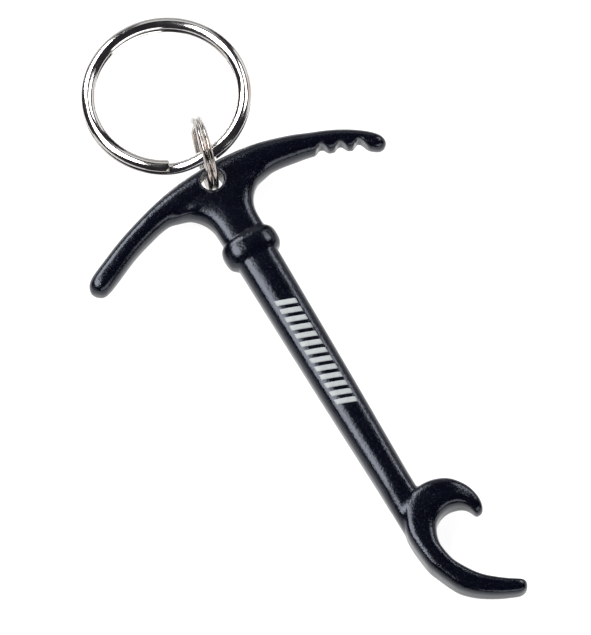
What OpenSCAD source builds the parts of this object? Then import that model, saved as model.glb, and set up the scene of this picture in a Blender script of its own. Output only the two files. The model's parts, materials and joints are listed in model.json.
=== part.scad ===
// Pocket bottle opener in the form of a small ice axe, with a small and a large split ring.
// The opener is one casting. It lies flat with its shaft along Y and its head towards +Y.
// Inside this file the eye's centre is the zero of X and Y, and the casting's mid plane is z = 0.
// The place() module at the end sets the model on the ground, centred on its own outline.

/* [Casting] */
// Diameter of the eye that the small ring goes through
eye_d = 3.9; // [3.6:0.1:4.2]
// Thickness of the head at the eye
head_t = 5.3; // [4.6:0.1:5.4]
// Thickness of the right tip, past the notches
pick_t = 3.6; // [3:0.1:4.4]
// Thickness of the shaft on its crown
shaft_t = 5.8; // [5:0.1:6.4]
// Width of the shaft below the collar
shaft_top_w = 7.4; // [6.6:0.1:7.8]
// Width of the shaft above the cap hook
shaft_end_w = 5.8; // [5.2:0.1:6.2]
// Width of the neck between head and collar
neck_w = 7.7; // [7:0.1:8.2]
// Width of the collar
collar_w = 10; // [9.2:0.1:10.4]
// Thickness of the collar
collar_t = 6.7; // [6:0.1:7.2]
// Thickness of the cap hook round its throat
hook_t = 5.8; // [5.2:0.1:6.2]
// Thickness of the cap hook's two tips
hook_tip_t = 3.7; // [3:0.1:4.4]

/* [Pick notches] */
// Number of notches under the right arm
notch_n = 3; // [1:1:3]
// Radius at the root of a notch
notch_r = 0.6; // [0.4:0.05:0.8]

/* [Small split ring] */
// Outer diameter of the small ring
small_od = 13; // [12.8:0.1:13.2]
// Diameter of its round wire
small_wire = 0.88; // [0.8:0.02:0.92]
// Direction of the small ring from the eye, turned from +Y towards +X
small_turn = 14.5; // [10:0.5:18]

/* [Large split ring] */
// Outer diameter of the large ring
large_od = 28.5; // [27:0.5:30]
// Width of its flattened wire, along the ring's radius
large_wire_w = 2.26; // [1.8:0.02:2.3]
// Height of one turn of its wire
large_wire_h = 1.32; // [1.1:0.02:1.36]

/* [Hidden] */

// Fineness of the surfaces: points round a section, and steps between two stations
section_points = 24;
station_steps = 3;
ring_points = 12;
ring_steps = 56;

// Play between neighbouring turns of one ring
turn_gap = 0.07;

// Small ring: it stands upright in the eye, with the thin rim of the head inside it
small_radius = (small_od - small_wire) / 2;
small_out = 4.85; // its centre, measured from the eye
small_up = 1.8; // its centre, above the casting's mid plane
small_dir = [sin(small_turn), cos(small_turn)];

// Large ring: it goes through the small ring and lies with its far side on the ground
large_radius = (large_od - large_wire_w) / 2;
large_h = 2 * large_wire_h + turn_gap;
large_near = [1.6, 5.36]; // centre of its section inside the small ring
large_near_z = -3.1; // underside of that section

// Ground below the casting's mid plane, and centre of the whole outline
ground_z = small_up - small_od / 2;
large_tilt = asin((large_near_z - ground_z) / (2 * large_radius));
outline_x = [-27.1, 28.95];
outline_y = [-88.55, large_near[1] + 2 * large_radius + large_wire_w / 2];

// ---- curves and sections ----

// Catmull-Rom value between b and c, where t runs from 0 to 1
function spline(a, b, c, d, t) =
    b + 0.5 * t * (c - a + t * (2 * a - 5 * b + 4 * c - d + t * (3 * (b - c) + d - a)));

// Rows of numbers made finer by a spline through every row
function refine(rows, steps) = [
    for (i = [0 : len(rows) - 2])
        for (k = [0 : steps - 1])
            spline(rows[max(i - 1, 0)], rows[i], rows[i + 1], rows[min(i + 2, len(rows) - 1)], k / steps),
    rows[len(rows) - 1]
];

// Signed power, for superellipses
function spow(v, p) = sign(v) * pow(abs(v), p);

// One point of a section of exponent n: u from -1 to 1 across it and w from -1 to 1 up it
function section_uw(k, count, n) =
    let (a = 360 * (k + 0.5) / count)
    [spow(cos(a), 2 / n), spow(sin(a), 2 / n)];

// Skin over rings of points: side quads and two end caps
function skin_faces(rings, count) = concat(
    [for (i = [0 : rings - 2])
        for (k = [0 : count - 1])
            let (a = i * count + k, b = i * count + (k + 1) % count)
            [a, a + count, b + count, b]],
    [[for (k = [0 : count - 1]) k]],
    [[for (k = [count - 1 : -1 : 0]) (rings - 1) * count + k]]
);

// Limb of the casting through stations [left x, left y, right x, right y, half thickness].
// Left and right are seen looking along the limb, from its first station to its last.
module limb(stations, exponent) {
    fine = refine(stations, station_steps);
    points = [
        for (s = fine)
            for (k = [0 : section_points - 1])
                let (
                    q = section_uw(k, section_points, exponent),
                    middle = [s[0] + s[2], s[1] + s[3]] / 2,
                    half = [s[0] - s[2], s[1] - s[3]] / 2
                )
                [middle[0] + half[0] * q[0], middle[1] + half[1] * q[0], s[4] * q[1]]
    ];
    polyhedron(points, skin_faces(len(fine), section_points), convexity = 8);
}

// ---- casting ----

// Head: stations from the left tip to the right tip, upper edge first
module head_bar() {
    h = head_t / 2;
    p = pick_t / 2;
    limb([
        [-27.1, -6.75, -27, -7.35, 0.7],
        [-26.85, -5.9, -26.4, -8, h - 0.95],
        [-26.2, -5.2, -25.35, -8.6, h - 0.5],
        [-25.2, -4.55, -23.85, -8.25, h - 0.3],
        [-22.7, -3.35, -21.35, -7.1, h - 0.2],
        [-19.1, -1.7, -17.85, -5.4, h - 0.1],
        [-15.15, -0.2, -14.15, -4.05, h],
        [-10.15, 1.4, -9.6, -2.95, h],
        [-5, 2.53, -4.8, -3.1, h],
        [0, 3.05, 0, -3.3, h],
        [5, 3.05, 4.8, -3.2, h],
        [10.05, 2.45, 9.4, -3, h - 0.05],
        [15.05, 1.1, 13.75, -3.35, h - 0.2],
        [18.25, -0.1, 17.2, -3.9, h - 0.45],
        [22, -1.55, 20.6, -5.05, h - 0.7],
        [25, -3.2, 23.4, -6.25, p + 0.1],
        [27.3, -4.9, 25.5, -7.45, p + 0.05],
        [28.65, -6.4, 26.5, -8.25, p],
        [28.95, -7.6, 27.3, -8.7, p - 0.4],
        [28.75, -8.25, 28, -8.75, 0.6]
    ], 2.6);
}

// Neck: straight sides that run out into both arms over round fillets. It starts inside the head.
module neck() {
    r_left = 5.6;
    r_right = 5.9;
    function flare(y, r, y0) = y < y0 ? 0 : r - sqrt(max(r * r - pow(y - y0, 2), 0));
    function sunk(y) = y > -3 ? 0.06 * (y + 3) : 0;
    half = neck_w / 2;
    limb([
        for (y = [-0.9, -1.9, -2.95, -3.5, -4, -4.7, -5.5, -6.5, -7.7, -9, -10.5, -12.5])
            [half + flare(y, r_right, -8.85), y, -half - flare(y, r_left, -8.55), y, head_t / 2 - sunk(y)]
    ], 3.4);
}

// Collar: a short barrel round the top of the shaft
module collar() {
    w = collar_w / 2;
    t = collar_t / 2;
    mid = -13.2;
    reach = 2.4;
    limb([
        for (a = [-80 : 20 : 80])
            let (bulge = 1 - 0.4 * pow(1 - cos(a), 1.4))
            [w * bulge, mid - reach * sin(a), -w * bulge, mid - reach * sin(a), t * bulge]
    ], 2.7);
}

// Shaft, from inside the neck down to where the hook rises out of it
module shaft() {
    a = shaft_top_w / 2;
    b = shaft_end_w / 2;
    t = shaft_t / 2;
    limb([
        [a, -12, -a, -12, t],
        [a, -16, -a, -16, t],
        [a - 0.2, -30, -a + 0.2, -30, t],
        [(a + b) / 2, -42, -(a + b) / 2, -42, t],
        [b + 0.1, -56, -b - 0.1, -56, t],
        [b, -61, -b, -61, t],
        [b, -64.2, -b, -64.2, t - 0.25],
        [b - 0.3, -67, -b + 0.02, -67, t - 0.5],
        [1.6, -70.5, -b + 0.05, -70.5, t - 0.7]
    ], 2.9);
}

// Cap hook: one crescent with a flat face, from the claw's tip over the throat to the lower tip.
// Its inner edge comes first in each station.
module cap_hook() {
    h = hook_t / 2;
    p = hook_tip_t / 2;
    limb([
        [9.35, -73.05, 10.1, -72.95, 0.5],
        [9.05, -72.8, 10.55, -72.4, p - 0.5],
        [8.85, -72.35, 10.85, -71.3, p - 0.1],
        [8.7, -71.85, 10.8, -69.8, p + 0.15],
        [8.4, -71.2, 10.3, -68.05, p + 0.4],
        [7.8, -70.55, 9.35, -66.55, h - 0.35],
        [6.85, -70.1, 7.95, -65.15, h - 0.1],
        [5.7, -69.9, 5.95, -64.25, h],
        [4.4, -70.1, 3.95, -63.95, h],
        [3.15, -70.7, 1.75, -64.25, h],
        [2.25, -71.6, -0.05, -65.15, h],
        [1.65, -72.8, -1.6, -66.85, h],
        [1.3, -74, -2.6, -69.2, h],
        [1.2, -75.35, -3, -71.9, h],
        [1.6, -77.65, -2.65, -76.55, h - 0.1],
        [2.15, -79, -2.05, -78.6, h - 0.2],
        [3.6, -81.35, -0.45, -82.35, h - 0.35],
        [4.95, -82.9, 0.95, -84.15, h - 0.5],
        [6.4, -84.1, 2.75, -85.65, h - 0.65],
        [7.85, -85.15, 4.95, -87, p + 0.2],
        [9.15, -85.95, 7.1, -88, p + 0.05],
        [10.1, -86.6, 8.6, -88.55, p - 0.1],
        [10.4, -87.05, 9.6, -88.45, p - 0.5],
        [10.45, -87.45, 10.05, -88.15, 0.5]
    ], 4);
}

// Notches under the right arm: slanted sides and a round root, right through
module notches() {
    first = [18.93, -3.76];
    pitch = [2.95, -1.13];
    lean = atan2(pitch[1], pitch[0]);
    for (i = [0 : notch_n - 1])
        translate([first[0] + i * pitch[0], first[1] + i * pitch[1], -head_t / 2])
            rotate([0, 0, lean])
                linear_extrude(head_t)
                    hull() {
                        circle(r = notch_r, $fn = 32);
                        translate([0, -2.2])
                            square([4.4, 0.1], center = true);
                    }
}

// The limbs melted into one skin, at the size that they have
module one_skin() {
    resize([0, 0, 0])
        children();
}

module axe_casting() {
    color([0.07, 0.08, 0.11])
        place()
            difference() {
                one_skin()
                    difference() {
                        union() {
                            head_bar();
                            neck();
                            collar();
                            shaft();
                            cap_hook();
                        }
                        notches();
                    }
                translate([0, 0, -head_t])
                    cylinder(d = eye_d, h = 2 * head_t, $fn = 64);
            }
}

// ---- split rings ----

// Share of the ring's circle that its crossover takes, in degrees
crossover = 34;

// Side of the wire, from -1 on the first turn to 1 on the second, at angle a of the winding
function wire_side(a) =
    let (t = min(max((a - 360) / crossover + 0.5, 0), 1))
    2 * t * t * (3 - 2 * t) - 1;

// Two turns of wire round Z, from cut end to cut end, with the crossover at angle 0
module split_ring(radius, wire_w, wire_h, exponent) {
    first = crossover / 2;
    last = 720 - crossover / 2;
    count = 2 * ring_steps;
    offset_z = (wire_h + turn_gap) / 2;
    points = [
        for (i = [0 : count])
            let (
                a = first + (last - first) * i / count,
                z = offset_z * wire_side(a)
            )
            for (k = [0 : ring_points - 1])
                let (
                    q = section_uw(k, ring_points, exponent),
                    r = radius - q[0] * wire_w / 2
                )
                [r * cos(a), r * sin(a), z + q[1] * wire_h / 2]
    ];
    polyhedron(points, skin_faces(count + 1, ring_points), convexity = 8);
}

// The small ring's crossover faces up and outwards, so both turns pass through the eye
module small_split_ring() {
    color([0.78, 0.77, 0.75])
        place()
            translate([small_out * small_dir[0], small_out * small_dir[1], small_up])
                rotate([0, 0, -small_turn])
                    rotate([0, 90, 0])
                        rotate([0, 0, 75])
                            split_ring(small_radius, small_wire, small_wire, 2);
}

// The large ring's crossover lies just left of the small ring
module large_split_ring() {
    color([0.8, 0.79, 0.77])
        place()
            translate([large_near[0], large_near[1], large_near_z + large_h / 2])
                rotate([-large_tilt, 0, 0])
                    translate([0, large_radius, 0])
                        rotate([0, 0, -100])
                            split_ring(large_radius, large_wire_w, large_wire_h, 2.4);
}

// Sets the model on the ground, centred on its outline
module place() {
    translate([-(outline_x[0] + outline_x[1]) / 2, -(outline_y[0] + outline_y[1]) / 2, -ground_z])
        children();
}

axe_casting();
small_split_ring();
large_split_ring();
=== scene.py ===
"""Looks of a pocket bottle opener cast as a small ice axe, with its two split rings.

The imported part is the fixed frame. The casting's surface is made from its own node, melted into
one skin; the rings are wound by spinning a wire section; the printed bars are laid on the shaft.
"""

import json
import math

import bmesh
import bpy
from mathutils import Matrix, Vector
from mathutils.bvhtree import BVHTree


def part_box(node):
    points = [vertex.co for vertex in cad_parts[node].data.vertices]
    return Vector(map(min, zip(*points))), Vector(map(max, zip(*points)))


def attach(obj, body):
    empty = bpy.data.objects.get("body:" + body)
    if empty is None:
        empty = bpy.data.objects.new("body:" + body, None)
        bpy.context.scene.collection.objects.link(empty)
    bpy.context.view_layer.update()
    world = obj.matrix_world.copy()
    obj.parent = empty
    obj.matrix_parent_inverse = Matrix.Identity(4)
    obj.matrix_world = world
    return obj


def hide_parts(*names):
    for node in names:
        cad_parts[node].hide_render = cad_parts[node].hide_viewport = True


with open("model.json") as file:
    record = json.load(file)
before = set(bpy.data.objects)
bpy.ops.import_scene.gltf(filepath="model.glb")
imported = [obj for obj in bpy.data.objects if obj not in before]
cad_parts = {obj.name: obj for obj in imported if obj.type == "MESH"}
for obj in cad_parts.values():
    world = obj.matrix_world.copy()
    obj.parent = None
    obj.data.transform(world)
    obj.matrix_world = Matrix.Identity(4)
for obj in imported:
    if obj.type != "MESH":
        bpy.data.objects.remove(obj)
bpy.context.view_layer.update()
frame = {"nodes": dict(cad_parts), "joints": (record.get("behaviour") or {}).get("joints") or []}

MM = 0.001

# ---------------------------------------------------------------- places taken from the frame

CASTING_LOW, CASTING_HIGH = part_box("axe_casting")
MID_Z = (CASTING_LOW.z + CASTING_HIGH.z) / 2
JOINTS = {joint["name"]: joint for joint in frame["joints"]}
EYE_FROM_LEFT = 27.1 * MM  # from the left tip to the eye's centre
EYE_FROM_FOOT = 88.55 * MM  # from the hook's lowest edge to the eye's centre
EYE = Vector((CASTING_LOW.x + EYE_FROM_LEFT, CASTING_LOW.y + EYE_FROM_FOOT, MID_Z))


# ---------------------------------------------------------------- shader expressions


class Val:
    """A socket of a node tree that takes part in Python expressions."""

    def __init__(self, tree, socket):
        self.tree = tree
        self.socket = socket

    def node(self, kind, output=0, settings=None, **inputs):
        """A new node of that type: settings first, then the values or links of its sockets."""
        made = self.tree.nodes.new(kind)
        for key, value in (settings or {}).items():
            setattr(made, key, value)
        for key, value in inputs.items():
            index = int(key[1:]) if key[0] == "i" and key[1:].isdigit() else key.replace("_", " ")
            self.plug(value, made.inputs[index])
        return Val(self.tree, made.outputs[output])

    def plug(self, value, socket):
        if isinstance(value, Val):
            self.tree.links.new(value.socket, socket)
        else:
            socket.default_value = value

    def math(self, operation, *values):
        return self.node("ShaderNodeMath", settings={"operation": operation},
                         **{f"i{i}": v for i, v in enumerate(values)})

    def __add__(self, other):
        return self.math("ADD", self, other)

    def __radd__(self, other):
        return self.math("ADD", other, self)

    def __mul__(self, other):
        return self.math("MULTIPLY", self, other)

    def __rmul__(self, other):
        return self.math("MULTIPLY", other, self)

    def step(self, low, high):
        """0 below low, 1 above high, smooth between."""
        return self.node("ShaderNodeMapRange", settings={"interpolation_type": "SMOOTHSTEP"},
                         Value=self, From_Min=low, From_Max=high)

    def mix(self, first, second):
        """The colour first where this is 0 and second where it is 1."""
        mixed = self.tree.nodes.new("ShaderNodeMix")
        mixed.data_type = "RGBA"
        self.plug(self, mixed.inputs[0])
        self.plug(first, mixed.inputs[6])
        self.plug(second, mixed.inputs[7])
        return Val(self.tree, mixed.outputs[2])


def new_material(name):
    """A material with a Principled shader, and its object coordinates."""
    material = bpy.data.materials.new(name)
    material.use_nodes = True
    tree = material.node_tree
    tree.nodes.clear()
    shader = tree.nodes.new("ShaderNodeBsdfPrincipled")
    output = tree.nodes.new("ShaderNodeOutputMaterial")
    tree.links.new(shader.outputs[0], output.inputs[0])
    place = Val(tree, tree.nodes.new("ShaderNodeTexCoord").outputs["Object"])
    return material, shader, place


def noise(place, scale, detail=2.0, roughness=0.5):
    return place.node("ShaderNodeTexNoise", output="Fac", Vector=place, Scale=scale,
                      Detail=detail, Roughness=roughness)


def bump(place, height, strength, distance):
    return place.node("ShaderNodeBump", output="Normal", Height=height, Strength=strength,
                      Distance=distance)


# ---------------------------------------------------------------- materials


def black_casting():
    """Satin blue-black coating over a cast skin: fine orange peel and dust-sized pale specks."""
    material, shader, place = new_material("black_casting")
    peel = noise(place, 3000.0, 2.0, 0.6)
    cast = noise(place, 420.0, 3.0, 0.55)
    specks = noise(place, 6000.0, 1.0, 0.4).step(0.64, 0.74)
    tone = (0.5 * cast + 0.5 * peel).step(0.3, 0.7)
    colour = tone.mix((0.0006, 0.0009, 0.0036, 1), (0.0012, 0.0016, 0.0055, 1))
    colour = (specks * 0.8).mix(colour, (0.025, 0.03, 0.045, 1))
    place.plug(colour, shader.inputs["Base Color"])
    place.plug(0.11 + 0.07 * cast + 0.04 * peel, shader.inputs["Roughness"])
    place.plug(bump(place, 0.8 * peel + cast, 0.8, 0.00006), shader.inputs["Normal"])
    shader.inputs["IOR"].default_value = 1.5
    shader.inputs["Specular Tint"].default_value = (0.80, 0.86, 1.0, 1)
    return material


def ring_wire(name, tint, warm):
    """Bright nickel on drawn steel wire: a little haze and a warm tarnish in patches. For the small ring
    the tint is painted shade, the same nickel made darker.
    """
    material, shader, place = new_material(name)
    haze = noise(place, 260.0, 3.0, 0.6)
    fine = noise(place, 2400.0, 2.0, 0.5)
    aside = place.node("ShaderNodeVectorMath", settings={"operation": "ADD"}, i0=place, i1=(3, 3, 3))
    tarnish = noise(aside, 90.0, 2.0, 0.5).step(0.52, 0.72)
    colour = (tarnish * 0.55).mix(tint, warm)
    place.plug(colour, shader.inputs["Base Color"])
    place.plug(0.07 + 0.10 * haze.step(0.4, 0.8) + 0.05 * fine, shader.inputs["Roughness"])
    shader.inputs["Metallic"].default_value = 1.0
    return material


def printed_grey():
    """Light grey pad print with a slightly uneven ink film."""
    material, shader, place = new_material("printed_grey")
    film = noise(place, 700.0, 3.0, 0.6)
    place.plug(film.step(0.3, 0.7).mix((0.38, 0.405, 0.41, 1), (0.44, 0.465, 0.47, 1)),
               shader.inputs["Base Color"])
    place.plug(0.42 + 0.1 * film, shader.inputs["Roughness"])
    return material


# ---------------------------------------------------------------- mesh work


def as_piece(name, bm, material, body, replaced):
    """A finished bmesh as a shaded piece that rides on a body, in place of a CAD node if one is named."""
    mesh = bpy.data.meshes.new(name)
    bm.to_mesh(mesh)
    bm.free()
    piece = bpy.data.objects.new(name, mesh)
    bpy.context.scene.collection.objects.link(piece)
    mesh.materials.clear()
    mesh.materials.append(material)
    mesh.polygons.foreach_set("use_smooth", [True] * len(mesh.polygons))
    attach(piece, body)
    if replaced:
        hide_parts(replaced)


def voxel_skin(bm, voxel):
    """The mesh remade of even quads by a voxel remesh."""
    mesh = bpy.data.meshes.new("skin_before_remesh")
    bm.to_mesh(mesh)
    bm.free()
    carrier = bpy.data.objects.new("skin_before_remesh", mesh)
    bpy.context.scene.collection.objects.link(carrier)
    remesh = carrier.modifiers.new("Remesh", "REMESH")
    remesh.mode = "VOXEL"
    remesh.voxel_size = voxel
    bpy.context.view_layer.update()
    evaluated = carrier.evaluated_get(bpy.context.evaluated_depsgraph_get())
    out = bmesh.new()
    out.from_mesh(evaluated.to_mesh())
    evaluated.to_mesh_clear()
    bpy.data.objects.remove(carrier)
    bpy.data.meshes.remove(mesh)
    return out


SKIN_VOXEL = 0.21 * MM


def soften(bm, passes):
    """Rounds every edge of the skin a little, as casting and tumbling do."""
    for _ in range(passes):
        bmesh.ops.smooth_vert(bm, verts=bm.verts, factor=0.5, use_axis_x=True, use_axis_y=True,
                              use_axis_z=True)


def soften_at(bm, x, y, reach, passes):
    """More softening round a spot of the casting, in mm from the eye, fading out over its reach."""
    spot = EYE + Vector((x, y, 0)) * MM
    spread = [(math.hypot(v.co.x - spot.x, v.co.y - spot.y), v) for v in bm.verts]
    for i in range(passes):
        limit = reach * MM * (1 - 0.4 * i / passes)
        near = [v for distance, v in spread if distance < limit]
        bmesh.ops.smooth_vert(bm, verts=near, factor=0.5, use_axis_x=True, use_axis_y=True,
                              use_axis_z=True)


def make_casting():
    """The casting's own skin, remade even and softened. Returns it for the print to be laid on."""
    bm = bmesh.new()
    bm.from_mesh(frame["nodes"]["axe_casting"].data)
    bmesh.ops.remove_doubles(bm, verts=bm.verts, dist=0.002 * MM)
    bm = voxel_skin(bm, SKIN_VOXEL)
    soften(bm, 5)
    soften_at(bm, -9.3, -2.9, 4.6, 40)  # where the neck runs out into the left arm
    soften_at(bm, 9.6, -3.0, 4.6, 40)  # and into the right arm
    soften_at(bm, -0.8, -66.5, 3.2, 10)  # the hook's root
    skin = BVHTree.FromBMesh(bm)
    as_piece("opener_casting", bm, black_casting(), "casting", "axe_casting")
    return skin


BARS = 13
BAR_PITCH = 1.67 * MM
BAR_WIDTH = 1.0 * MM
BAR_LENGTH = 3.4 * MM
BAR_LEAN = 0.35  # how far a bar runs down the shaft for its length across it
PRINT_TOP = 25.3 * MM  # centre of the first bar, below the eye
PRINT_SIDE = -0.15 * MM  # centre of the print, right of the shaft's middle
INK = 0.03 * MM


def make_print(skin):
    """A row of slanted bars that follows the crown of the shaft."""
    bm = bmesh.new()
    for i in range(BARS):
        made = bmesh.ops.create_grid(bm, x_segments=10, y_segments=4, size=0.5)
        lean = Matrix.Identity(4)
        lean[1][0] = -BAR_LEAN
        at = Matrix.Translation(EYE + Vector((PRINT_SIDE, -PRINT_TOP - i * BAR_PITCH, 0)))
        bmesh.ops.transform(bm, matrix=at @ lean @ Matrix.Diagonal((BAR_LENGTH, BAR_WIDTH, 1, 1)),
                            verts=made["verts"])
    for vert in bm.verts:
        above = Vector((vert.co.x, vert.co.y, CASTING_HIGH.z + 5 * MM))
        vert.co = skin.ray_cast(above, Vector((0, 0, -1)))[0] + Vector((0, 0, INK / 2))
    bmesh.ops.solidify(bm, geom=bm.faces, thickness=INK)
    bmesh.ops.recalc_face_normals(bm, faces=bm.faces)
    as_piece("shaft_print", bm, printed_grey(), "casting", None)


LARGE_NICKEL = (0.82, 0.80, 0.78, 1)
# painted shade: the small ring's nickel is the large ring's nickel made darker, so that it reflects less
# of the bright floor and lamps
SMALL_NICKEL_PAINTED_SHADE = (0.46, 0.44, 0.42, 1)
TARNISH = (0.55, 0.40, 0.32, 1)
CROWN = 1.4  # above 1 the wire is crowned more than an oval is
CROSSOVER = math.radians(34)
CROSSOVER_STEPS = 14
TURN_STEPS = 132
TURN_GAP = 0.07 * MM
END_BEVEL = 0.1 * MM
SMALL_RADIUS = 6.04 * MM  # of the wire's middle
SMALL_WIRE = 0.88 * MM
SMALL_ENDS = math.radians(75)  # where the small ring's crossover lies along it
LARGE_RADIUS = 13.12 * MM
LARGE_WIDTH = 2.26 * MM
LARGE_HEIGHT = 1.32 * MM
LARGE_ENDS = math.radians(-100)


def wire_section(bm, radius, width, height):
    """A closed section in the plane y = 0, at that radius from Z, with a crowned top and bottom."""
    bmesh.ops.create_circle(bm, cap_ends=True, segments=32, radius=0.5)
    for vert in bm.verts:
        vert.co = Vector([0.5 * math.copysign(abs(2 * c) ** CROWN, c) for c in vert.co])
    stand = Matrix.Rotation(math.pi / 2, 4, "X")
    bmesh.ops.transform(bm, matrix=stand @ Matrix.Diagonal((width, height, 1, 1)), verts=bm.verts)
    bmesh.ops.translate(bm, vec=(radius, 0, 0), verts=bm.verts)


def spin_on(bm, section, angle, steps, rise):
    """The open end of the tube carried on round Z by an angle, rising by rise along it."""
    result = bmesh.ops.spin(bm, geom=section, cent=(0, 0, 0), axis=(0, 0, 1), dvec=(0, 0, rise / steps),
                            angle=angle, steps=steps, use_merge=False, use_duplicate=False)
    return result["geom_last"]


def wound_ring(radius, width, height):
    """Two turns of wire round Z with one crossover at angle 0, cut square at both ends."""
    bm = bmesh.new()
    wire_section(bm, radius, width, height)
    lift = height + TURN_GAP
    start = Matrix.Translation((0, 0, -lift / 2)) @ Matrix.Rotation(CROSSOVER / 2, 4, "Z")
    bmesh.ops.transform(bm, matrix=start, verts=bm.verts)
    section = list(bm.verts) + list(bm.edges) + list(bm.faces)
    open_turn = 2 * math.pi - CROSSOVER
    section = spin_on(bm, section, open_turn, TURN_STEPS, 0)
    for i in range(CROSSOVER_STEPS):
        a, b = (i / CROSSOVER_STEPS, (i + 1) / CROSSOVER_STEPS)
        rise = lift * (b * b * (3 - 2 * b) - a * a * (3 - 2 * a))
        section = spin_on(bm, section, CROSSOVER / CROSSOVER_STEPS, 1, rise)
    spin_on(bm, section, open_turn, TURN_STEPS, 0)
    bmesh.ops.remove_doubles(bm, verts=bm.verts, dist=0.001 * MM)
    ends = [f for f in bm.faces if len(f.verts) > 4]
    rims = [e for f in ends for e in f.edges]
    bmesh.ops.bevel(bm, geom=rims, offset=END_BEVEL, segments=2, profile=0.5, affect="EDGES",
                    material=-1, clamp_overlap=True)
    bmesh.ops.recalc_face_normals(bm, faces=bm.faces)
    return bm


def make_small_ring():
    """The small ring stands upright in the eye, round the axis that it turns on."""
    joint = JOINTS["small_ring_turn"]
    turn = math.atan2(-joint["axis"][1], joint["axis"][0])
    bm = wound_ring(SMALL_RADIUS, SMALL_WIRE, SMALL_WIRE)
    place = (Matrix.Translation(joint["pos_m"]) @ Matrix.Rotation(-turn, 4, "Z")
             @ Matrix.Rotation(math.pi / 2, 4, "Y") @ Matrix.Rotation(SMALL_ENDS, 4, "Z"))
    bmesh.ops.transform(bm, matrix=place, verts=bm.verts)
    # the darker nickel tint here is painted shade
    nickel = ring_wire("small_ring_nickel_painted_shade", SMALL_NICKEL_PAINTED_SHADE, TARNISH)
    as_piece("small_ring_wire", bm, nickel, "small_ring", "small_split_ring")


def make_large_ring():
    """The large ring goes through the small one at its joint and lies down to the ground."""
    joint = JOINTS["large_ring_swing"]
    tilt = math.atan2(joint["axis"][1], joint["axis"][2])
    bm = wound_ring(LARGE_RADIUS, LARGE_WIDTH, LARGE_HEIGHT)
    place = (Matrix.Translation(joint["pos_m"]) @ Matrix.Rotation(-tilt, 4, "X")
             @ Matrix.Translation((0, LARGE_RADIUS, 0)) @ Matrix.Rotation(LARGE_ENDS, 4, "Z"))
    bmesh.ops.transform(bm, matrix=place, verts=bm.verts)
    nickel = ring_wire("large_ring_nickel", LARGE_NICKEL, TARNISH)
    as_piece("large_ring_wire", bm, nickel, "large_ring", "large_split_ring")


# ---------------------------------------------------------------- camera, floor and light


VIEW_AZIMUTH = math.radians(-29.6)
VIEW_ELEVATION = math.radians(69.3)
VIEW_DISTANCE = 3.0
VIEW_HEIGHT = 105.5 * MM  # height of the picture at the aimed point
AIM = EYE + Vector((-0.14, -28.4, 2.65)) * MM
SENSOR = 36.0


def make_camera():
    back = Vector((math.sin(VIEW_AZIMUTH) * math.cos(VIEW_ELEVATION),
                   -math.cos(VIEW_AZIMUTH) * math.cos(VIEW_ELEVATION), math.sin(VIEW_ELEVATION)))
    data = bpy.data.cameras.new("camera")
    data.sensor_width = SENSOR
    data.lens = SENSOR * VIEW_DISTANCE / VIEW_HEIGHT
    data.clip_start = 0.01
    camera = bpy.data.objects.new("camera", data)
    bpy.context.scene.collection.objects.link(camera)
    camera.location = AIM + back * VIEW_DISTANCE
    camera.rotation_euler = (-back).to_track_quat("-Z", "Y").to_euler()
    bpy.context.scene.camera = camera


def make_floor():
    bm = bmesh.new()
    bmesh.ops.create_circle(bm, cap_ends=True, segments=64, radius=1.5)
    mesh = bpy.data.meshes.new("floor")
    bm.to_mesh(mesh)
    bm.free()
    floor = bpy.data.objects.new("floor", mesh)
    bpy.context.scene.collection.objects.link(floor)
    material = bpy.data.materials.new("floor")
    material.use_nodes = True
    shader = material.node_tree.nodes["Principled BSDF"]
    shader.inputs["Base Color"].default_value = (0.3, 0.3, 0.3, 1)
    shader.inputs["Roughness"].default_value = 0.9
    shader.inputs["Specular IOR Level"].default_value = 0.0
    shader.inputs["Emission Color"].default_value = (1, 1, 1, 1)
    shader.inputs["Emission Strength"].default_value = 0.92
    mesh.materials.append(material)


def softbox(name, direction, distance, width, height, radiance):
    """A rectangular light that faces the opener from that direction."""
    data = bpy.data.lights.new(name, "AREA")
    data.shape = "RECTANGLE"
    data.size = width
    data.size_y = height
    data.energy = radiance * math.pi * width * height
    light = bpy.data.objects.new(name, data)
    bpy.context.scene.collection.objects.link(light)
    way = Vector(direction).normalized()
    light.location = Vector((0, 0, MID_Z)) + way * distance
    light.rotation_euler = way.to_track_quat("Z", "Y").to_euler()


def make_lights():
    softbox("left_box", (-0.42, 0.31, 0.85), 0.6, 0.34, 0.34, 8.0)
    softbox("left_wall", (-0.95, -0.10, 0.24), 0.8, 0.9, 0.2, 0.9)
    softbox("front_wall", (0.1, -0.88, 0.48), 0.8, 0.9, 0.40, 2.4)
    softbox("back_left_box", (-0.16, 0.78, 0.61), 0.7, 0.34, 0.34, 8.0)
    softbox("back_wall", (0.25, 0.96, 0.16), 0.8, 0.9, 0.16, 0.5)
    softbox("right_box", (0.68, 0.20, 0.68), 0.7, 0.30, 0.14, 7.0)
    softbox("back_right_wall", (0.42, 0.76, 0.50), 0.8, 0.36, 0.3, 0.7)
    softbox("right_wall", (0.95, 0.1, 0.3), 0.8, 0.7, 0.25, 0.9)
    world = bpy.data.worlds.new("studio")
    bpy.context.scene.world = world
    world.use_nodes = True
    world.node_tree.nodes["Background"].inputs[0].default_value = (0.02, 0.02, 0.024, 1)
    bpy.context.scene.view_settings.view_transform = "Standard"


make_camera()
make_floor()
make_lights()
make_print(make_casting())
make_small_ring()
make_large_ring()
